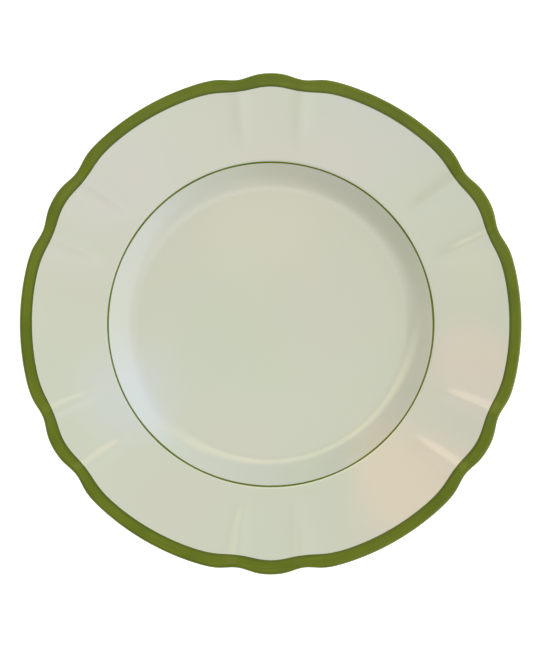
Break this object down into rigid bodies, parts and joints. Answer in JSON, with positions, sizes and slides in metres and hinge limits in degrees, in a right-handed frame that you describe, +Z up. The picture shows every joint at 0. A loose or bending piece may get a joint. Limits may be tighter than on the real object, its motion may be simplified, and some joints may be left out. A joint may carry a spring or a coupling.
{
  "type": "dinner plate",
  "caption": "Round china dinner plate with a gently scalloped, ridged rim, shallow well and foot ring, a green painted edge band and a thin green verge line.",
  "frame": {"origin": "on the Z axis at the plane of the foot ring's face, so the plate stands on z = 0", "axes": "+Z up, out of the well; +Y to the middle of a small scallop lobe; +X to the middle of a wide arc of the edge"},
  "size_m": [0.265, 0.2648, 0.0233],
  "materials": {
    "bisque": "matte",
    "lustre_glaze": "gloss",
    "green_enamel": "gloss"
  },
  "bodies": {
    "root": {"porcelain_body": "bisque", "glaze_coat": "lustre_glaze", "underside_glaze": "lustre_glaze", "rim_band": "green_enamel", "verge_line": "green_enamel"}
  },
  "joints": []
}
